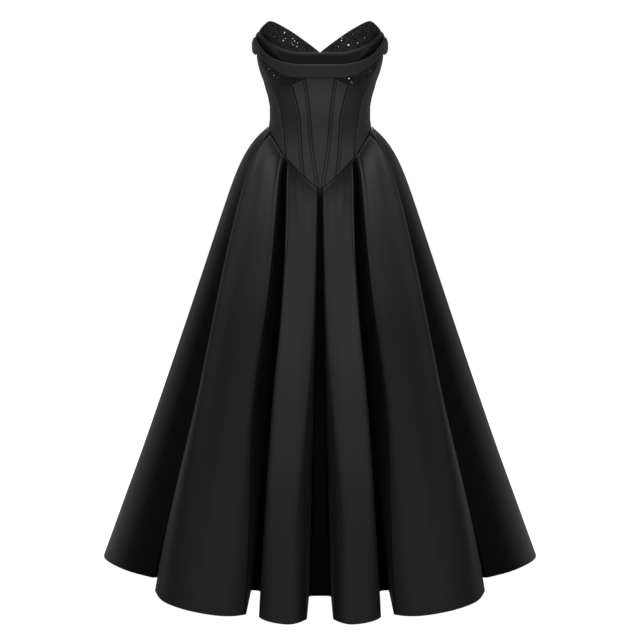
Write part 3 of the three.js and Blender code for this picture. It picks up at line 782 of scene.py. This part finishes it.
DRAPE_CREASES = {
    "drape_upper": table(
        CREASE_COLUMNS, (0.03, 0.5, 0.3, 0.3, 4, -1.2), (0.1, 0.62, 0.47, 0.48, 3.5, -0.9),
        (0.2, 0.42, 0.5, 0.33, 4, 0.8), (0.52, 0.5, 0.86, 0.62, 3.5, -0.9), (0.55, 0.3, 0.8, 0.4, 4, -0.8),
        (0.7, 0.32, 0.98, 0.52, 4, -1.2), (0.35, 0.25, 0.62, 0.26, 3, -0.6)),
    "drape_lower": table(
        CREASE_COLUMNS, (0.04, 0.55, 0.34, 0.36, 4, -1.3), (0.14, 0.4, 0.42, 0.28, 3.5, -0.9),
        (0.3, 0.6, 0.66, 0.56, 4, -0.8), (0.44, 0.36, 0.6, 0.35, 5, 0.7), (0.6, 0.3, 0.88, 0.44, 3.5, -0.9),
        (0.66, 0.42, 0.96, 0.58, 4, -1.3)),
}
WAIST_ROLL = {"high": 1.3, "at": 4.0, "wide": 2.4}  # the gores' soft roll under the waist seam
GORE_CREASES = {
    "skirt_front": table(
        CREASE_COLUMNS, (0.55, 0.99, 0.5, 0.72, 9, -0.9), (0.42, 0.98, 0.4, 0.6, 12, 0.9),
        (0.5, 0.5, 0.56, 0.12, 16, -2.4), (0.62, 0.42, 0.64, 0.02, 14, 2.2),
        (0.42, 0.3, 0.44, 0.0, 15, -2.0)),
    "skirt_side_front": table(
        CREASE_COLUMNS, (0.62, 0.99, 0.6, 0.72, 8, -1.0), (0.7, 0.99, 0.64, 0.78, 7, -0.9),
        (0.54, 0.98, 0.52, 0.66, 9, 0.8), (0.45, 0.97, 0.47, 0.6, 11, -0.9), (0.58, 0.6, 0.6, 0.2, 18, -3.0),
        (0.5, 0.4, 0.48, 0.04, 16, 2.4), (0.7, 0.34, 0.72, 0.0, 18, -2.4)),
    "skirt_side": table(
        CREASE_COLUMNS, (0.4, 0.99, 0.42, 0.75, 9, -1.0), (0.55, 0.98, 0.52, 0.66, 11, 1.0),
        (0.64, 0.97, 0.66, 0.6, 11, -1.0), (0.45, 0.5, 0.5, 0.1, 18, -3.0), (0.62, 0.4, 0.6, 0.02, 18, 2.6)),
    "skirt_side_back": table(
        CREASE_COLUMNS, (0.42, 0.99, 0.44, 0.72, 10, -1.0), (0.56, 0.98, 0.54, 0.62, 12, 1.0),
        (0.4, 0.5, 0.42, 0.06, 18, -2.8), (0.6, 0.36, 0.58, 0.0, 16, 2.4)),
    "skirt_back": table(
        CREASE_COLUMNS, (0.45, 0.99, 0.46, 0.7, 10, -1.0), (0.58, 0.98, 0.6, 0.6, 12, 1.0),
        (0.5, 0.46, 0.48, 0.04, 18, -2.8), (0.7, 0.4, 0.72, 0.1, 16, 2.0)),
}
# Painted shade deep in the pleats: at what depth a gore's shade starts and where it is fullest, at its near
# side and at its far one, in millimetres at the hem.
GORE_SHADE = {"skirt_side_front": ((18, 90), (8, 40)), "skirt_side": ((6, 52), (18, 105))}
PLAIN_GORE_SHADE = ((18, 105), (18, 105))
# Painted shade on a gore's face towards the hem, by height.
HEM_SHADE = {
    "skirt_front": table("z value", (-960, 0.36), (-838, 0.3), (-775, 0.22), (-647, 0.14), (-500, 0)),
    "skirt_side_front": table(
        "z value", (-960, 0.34), (-838, 0.37), (-775, 0.41), (-517, 0.41), (-406, 0.25), (-316, 0.18),
        (-230, 0)),
    "skirt_side": table("z value", (-838, 0.27), (-647, 0.36), (-500, 0.46), (-316, 0.42), (-200, 0.1)),
}
# The drape's painted shade: towards the sides, between two angles, and at each tier's lower edge, between
# two shares of its section, which lie higher at the sides. Below its rolled top edge a tier's front has
# painted shade too, most at the centre.
TIER_SHADE = {
    "angles": (22, 52), "edge": (0.3, 0.4), "roll": (0.58, 0.68), "lighter_aside": 0.85,
    "drape_upper": {"aside": 0.3, "under": 0.95, "widened": 0.26, "front": 0.66},
    "drape_lower": {"aside": 0.3, "under": 0.2, "widened": 0.1, "front": 0.28},
}


def build_drape():
    for name, tier in TIERS.items():
        points = tier_points(tier, *TIER_GRID)
        # Painted shade: towards the sides, at each tier's lower edge, and below its rolled top edge.
        aside = smooth(*TIER_SHADE["angles"], np.abs(figure_angle(points)))
        section = np.linspace(0, 1, len(points))[:, None]
        edge_low, edge_high = TIER_SHADE["edge"]
        shade = TIER_SHADE[name]
        widened = shade["widened"] * aside
        under = 1 - smooth(edge_low + widened, edge_high + widened, section)
        front = (1 - smooth(*TIER_SHADE["roll"], section)) * (1 - TIER_SHADE["lighter_aside"] * aside)
        deep = np.maximum(aside * shade["aside"], under * shade["under"])
        deep = np.maximum(deep, front * shade["front"])
        woven_piece(name, points, SATIN, DRAPE_WALL, "draped", deep=deep,
                    relief=crease_relief(points, DRAPE_CREASES[name]))


def build_skirt():
    for name in GORES:
        points, depth = gore_points(name, *GORE_GRID)
        up = flat_of(points)[1]
        below = up[-1:] - up
        rolled = np.exp(-((below - WAIST_ROLL["at"]) / WAIST_ROLL["wide"]) ** 2) * WAIST_ROLL["high"]
        relief = rolled + seam_dip(points, SEAM_DIP, WAIST_DIP_WIDTH, ("over",))
        relief = relief + crease_relief(points, GORE_CREASES[name])
        # Painted shade: deep in the pleats, towards the hem, and at the waist seam.
        near, far = GORE_SHADE.get(name, PLAIN_GORE_SHADE)
        s = np.linspace(0, 1, points.shape[1])
        deep = smooth(mix(near[0], far[0], s), mix(near[1], far[1], s), depth)
        lower = HEM_SHADE.get(name, HEM_SHADE["skirt_front"])
        deep = deep + np.interp(points[..., 2], lower["z"], lower["value"]) * (1 - deep)
        deep = deep + SEAM_SHADE * near_seams(points, SEAM_SHADE_WIDTH, ("over",))
        build_pair(name, points, SATIN, SKIRT_WALL, "hung", relief=relief, deep=np.clip(deep, 0, 1))


# The cups' beading: scrolls of sequins with beaded leaves, on a scattered ground.
SCROLL = {"radius": 13, "turns": 1.35, "sequins": 30, "tightness": 0.8}
SCROLL_START = np.array([0, 58])  # the angle and height of the first scroll's middle
SCROLL_STEP = np.array([11, 24])
SCROLL_ROWS = 7
SCROLL_COLUMNS = 8
SCROLL_TURNED = (0.9, 1.7)  # by how much more each column and each row is turned, in radians
LEAF = {"places": (0.1, 0.32, 0.55, 0.8), "beads": 4, "step": 1.9, "bend": 0.6}
DEGREE_ROUND = 2.45  # millimetres round the cup in each degree
# The ground's sequins, of which those on the cup are kept.
GROUND_COUNT = 1800
GROUND_ANGLES = (0, 84)
GROUND_HEIGHTS = (55, 216)
# The cup's small pieces: their shape, their least and greatest size, and how far they tilt.
BEADING = {
    "sequins": (DISC, (1.35, 1.65), 0.22),
    "beads": (BEAD, (0.75, 0.95), 0.1),
    "ground_sequins": (DISC, (0.7, 1.15), 0.35),
}
BEADING_SEED = 11
BEADING_LIFT = 0.3
EDGE_MARGIN = 2.5
SEAM_MARGIN = 1  # in degrees
CRYSTAL_TILT = 0.25
CRYSTAL_LIFT = 0.5
# The crystals that catch the light: where they sit on each cup, and their radius.
CRYSTALS = {
    "left": table(
        "angle z size",
        (18.8, 160, 1.6), (18.5, 153, 1.3), (15.7, 138, 1.3), (24.6, 142, 2.5), (33.5, 151, 1.5),
        (36.5, 139, 1.6), (29, 172, 0.9), (42, 168, 0.9), (24.5, 69, 1.4), (29, 69, 2.2), (33, 62, 1.2),
        (55, 95, 0.9),
    ),
    "right": table(
        "angle z size",
        (32, 176, 2.5), (32.6, 156, 2.3), (30.7, 161, 1.4), (23.6, 159, 1.3), (22, 152, 1.5),
        (24.2, 148, 1.2), (23.3, 143, 1.6), (19.8, 138, 1.5), (19.3, 147, 1.2), (43, 171, 0.9),
        (56, 100, 1.1), (50, 83, 1.3), (46, 76, 0.9),
    ),
}
# Small steps that show how the cup lies at a place, in degrees round it and in millimetres up.
STEP_ROUND = 0.5
STEP_UP = 1


def cup_frame(angle, z):
    """Places on the cup, which way is out there, and which way is round."""
    here = torso_point(angle, z)
    aside = torso_point(angle + STEP_ROUND, z) - here
    above = torso_point(angle, z + STEP_UP) - here
    return here, unit(np.cross(aside, above)), unit(aside)


def inside_cup(angle, z):
    low = along(CUP_SEAM, "angle", "z", angle) + EDGE_MARGIN
    high = along(TOP_EDGE, "angle", "z", angle) - EDGE_MARGIN
    end = seam_angle("princess", z) - SEAM_MARGIN
    return (z > low) & (z < high) & (angle > SEAM_MARGIN) & (angle < end)


def scroll_places():
    """The angles and heights of the sequins on the scrolls and of the beads on their leaves."""
    flat = np.array([DEGREE_ROUND, 1])
    share = np.linspace(0, 1, SCROLL["sequins"])
    radius = SCROLL["radius"] * (1 - share) ** SCROLL["tightness"]
    steps = np.arange(1, LEAF["beads"] + 1)[:, None] * LEAF["step"]
    sequins, beads = [], []
    for row in range(SCROLL_ROWS):
        for column in range(SCROLL_COLUMNS):
            middle = SCROLL_START + np.array([column + 0.5 * (row % 2), row]) * SCROLL_STEP
            hand = -1 if (row + column) % 2 else 1
            turned = SCROLL_TURNED[0] * column + SCROLL_TURNED[1] * row
            turn = share * SCROLL["turns"] * 2 * np.pi + turned
            spiral = np.stack([hand * radius * np.cos(turn), radius * np.sin(turn)], -1) / flat + middle
            sequins.append(spiral)
            for place in LEAF["places"]:
                start = spiral[int(place * (SCROLL["sequins"] - 1))]
                outward = unit((start - middle) * flat)
                bent = outward + LEAF["bend"] * np.array([-outward[1], outward[0]])
                beads.append(start + bent * steps / flat)
    return np.concatenate(sequins), np.concatenate(beads)


def build_beading():
    rng = np.random.default_rng(BEADING_SEED)
    sequins, beads = scroll_places()
    ground = [rng.uniform(*span, GROUND_COUNT) for span in (GROUND_ANGLES, GROUND_HEIGHTS)]
    spots_of = {"sequins": sequins, "beads": beads, "ground_sequins": np.stack(ground, -1)}
    for side, hand in (("left", 1), ("right", -1)):
        flip = np.array([hand, 1, 1])
        for kind, (shape, size, tilt) in BEADING.items():
            spots = spots_of[kind]
            spots = spots[inside_cup(spots[:, 0], spots[:, 1])]
            places, outs, ways = cup_frame(spots[:, 0], spots[:, 1])
            outs = unit(outs + rng.normal(0, tilt, outs.shape))
            sizes = rng.uniform(*size, len(spots))
            places = places + outs * BEADING_LIFT
            scatter(f"cup_{kind}_{side}", shape, places * flip, outs * flip, ways * flip, sizes, SEQUIN)
        crystals = CRYSTALS[side]
        places, outs, ways = cup_frame(crystals["angle"], crystals["z"])
        outs = unit(outs + rng.normal(0, CRYSTAL_TILT, outs.shape))
        places = places + outs * CRYSTAL_LIFT
        scatter(f"cup_crystals_{side}", GEM, places * flip, outs * flip, ways * flip, crystals["size"],
                CRYSTAL)


TOOTH_PITCH = 2.0
TOOTH_SIZE = 0.9
ZIP_TOP = 108
ZIP_END = -190


def build_zip():
    """The teeth down the centre back seam, and the enamel of the slider and its pull."""
    gore, _ = gore_points("skirt_back", *GORE_GRID)
    panel = panel_points("back", "centre_back", WAIST_SEAM, TOP_EDGE, PANELS[-1][-1], BODICE_ROWS)
    seam = np.concatenate([gore[:, -1], panel[:, -1]])
    seam = seam[(seam[:, 2] > ZIP_END) & (seam[:, 2] < ZIP_TOP)]
    places, ways = walk(seam, TOOTH_PITCH)
    outs = np.cross(ways, (1, 0, 0))
    sizes = np.full(len(places), TOOTH_SIZE)
    scatter("zip_teeth", TOOTH, places, outs, ways, sizes, ENAMEL)
    for name in ("zip_slider", "zip_pull"):
        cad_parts[name].material_slots[0].material = ENAMEL


build_bodice()
build_channels()
build_drape()
build_skirt()
build_beading()
build_zip()


# The studio

# The room's light: what comes from the front (0), the sides (0.5) and behind (1), times what comes
# from below (0), from the level (0.5) and from above (1).
LIGHT_ROUND = table(
    "place value", (0, 0.85), (0.3, 0.74), (0.45, 0.3), (0.6, 0.2), (0.8, 0.28), (0.9, 0.2), (0.96, 0.08),
    (1, 0.08))
LIGHT_UP = table(
    "place value", (0, 0.95), (0.5, 1), (0.7, 1.05), (0.78, 0.6), (0.82, 0.48), (0.87, 0.76), (0.92, 1.3),
    (1, 1.5))
# The floor glows in front, from this far out on Y, and less towards the gown.
FLOOR_GLOW = {"From Min": -2.0, "From Max": -0.8, "To Min": 0.7, "To Max": 0.06}
FLOOR_SIZE = 30
FLOOR_GAP = 8  # from the hem down to the floor
# The lamps, in metres: their place, what they point at, their size and their power.
LAMPS = {
    "overhead": ((0, -0.6, 2.6), (0, 0, -0.3), (2.0, 1.6), 7),
    "behind": ((0, 2.4, 2.4), (0, 0, -0.5), (2.4, 1.4), 30),
}


def build_floor():
    """A white floor. What it throws on the gown is a glow of its own."""
    deselect()
    bpy.ops.mesh.primitive_plane_add(size=FLOOR_SIZE, location=(0, 0, (HEM_Z - FLOOR_GAP) * MM))
    floor = bpy.context.object
    floor.name = "studio_floor"
    finish, nodes, links, shader = new_finish(
        "studio_white", (0.5, 0.5, 0.5), roughness=0.9, emission_color=(1, 1, 1, 1))
    place = add_node(nodes, "ShaderNodeTexCoord")
    split = add_node(nodes, "ShaderNodeSeparateXYZ")
    links.new(place.outputs["Object"], split.inputs["Vector"])
    glow = add_node(nodes, "ShaderNodeMapRange")
    for name, value in FLOOR_GLOW.items():
        glow.inputs[name].default_value = value
    links.new(split.outputs["Y"], glow.inputs["Value"])
    path = add_node(nodes, "ShaderNodeLightPath")
    seen = add_node(nodes, "ShaderNodeMath", operation="MAXIMUM")
    links.new(path.outputs["Is Camera Ray"], seen.inputs[0])
    links.new(glow.outputs["Result"], seen.inputs[1])
    links.new(seen.outputs["Value"], shader.inputs["Emission Strength"])
    floor.data.materials.append(finish)


def build_room():
    """White all round for the camera, and graded light for the gown."""
    world = bpy.data.worlds.new("studio")
    world.use_nodes = True
    nodes, links = world.node_tree.nodes, world.node_tree.links
    shown = nodes["Background"]
    shown.inputs["Strength"].default_value = 1
    shown.inputs["Color"].default_value = (1, 1, 1, 1)
    lit = add_node(nodes, "ShaderNodeBackground", Strength=1.0)
    direction = add_node(nodes, "ShaderNodeTexCoord")
    split = add_node(nodes, "ShaderNodeSeparateXYZ")
    links.new(direction.outputs["Generated"], split.inputs["Vector"])
    product = add_node(nodes, "ShaderNodeVectorMath", operation="MULTIPLY")
    for number, (axis, rows) in enumerate((("Y", LIGHT_ROUND), ("Z", LIGHT_UP))):
        spread = add_node(nodes, "ShaderNodeMapRange")
        spread.inputs["From Min"].default_value = -1
        links.new(split.outputs[axis], spread.inputs["Value"])
        ramp = add_ramp(nodes, rows)
        links.new(spread.outputs["Result"], ramp.inputs["Fac"])
        links.new(ramp.outputs["Color"], product.inputs[number])
    links.new(product.outputs["Vector"], lit.inputs["Color"])
    path = add_node(nodes, "ShaderNodeLightPath")
    both = add_node(nodes, "ShaderNodeMixShader")
    links.new(path.outputs["Is Camera Ray"], both.inputs[0])
    links.new(lit.outputs[0], both.inputs[1])
    links.new(shown.outputs[0], both.inputs[2])
    links.new(both.outputs[0], nodes["World Output"].inputs["Surface"])
    bpy.context.scene.world = world


def build_lamps():
    for name, (place, target, size, power) in LAMPS.items():
        bpy.ops.object.light_add(type="AREA", location=place)
        light = bpy.context.object
        light.name = name
        light.rotation_euler = (Vector(target) - Vector(place)).to_track_quat("-Z", "Y").to_euler()
        light.data.shape = "RECTANGLE"
        light.data.size, light.data.size_y = size
        light.data.energy = power
        light.visible_camera = False


# A level camera in front, at nearly half the gown's height.
CAMERA_PLACE = (0, -2.255, -0.495)
FOCAL_PIXELS = 924.6
IMAGE_PIXELS = 640
SENSOR_WIDTH = 36


def build_camera():
    bpy.ops.object.camera_add(location=CAMERA_PLACE, rotation=(math.pi / 2, 0, 0))
    camera = bpy.context.object
    camera.data.sensor_width = SENSOR_WIDTH
    camera.data.lens = FOCAL_PIXELS / IMAGE_PIXELS * SENSOR_WIDTH
    bpy.context.scene.camera = camera


build_floor()
build_room()
build_lamps()
build_camera()
bpy.context.scene.view_settings.view_transform = "Standard"
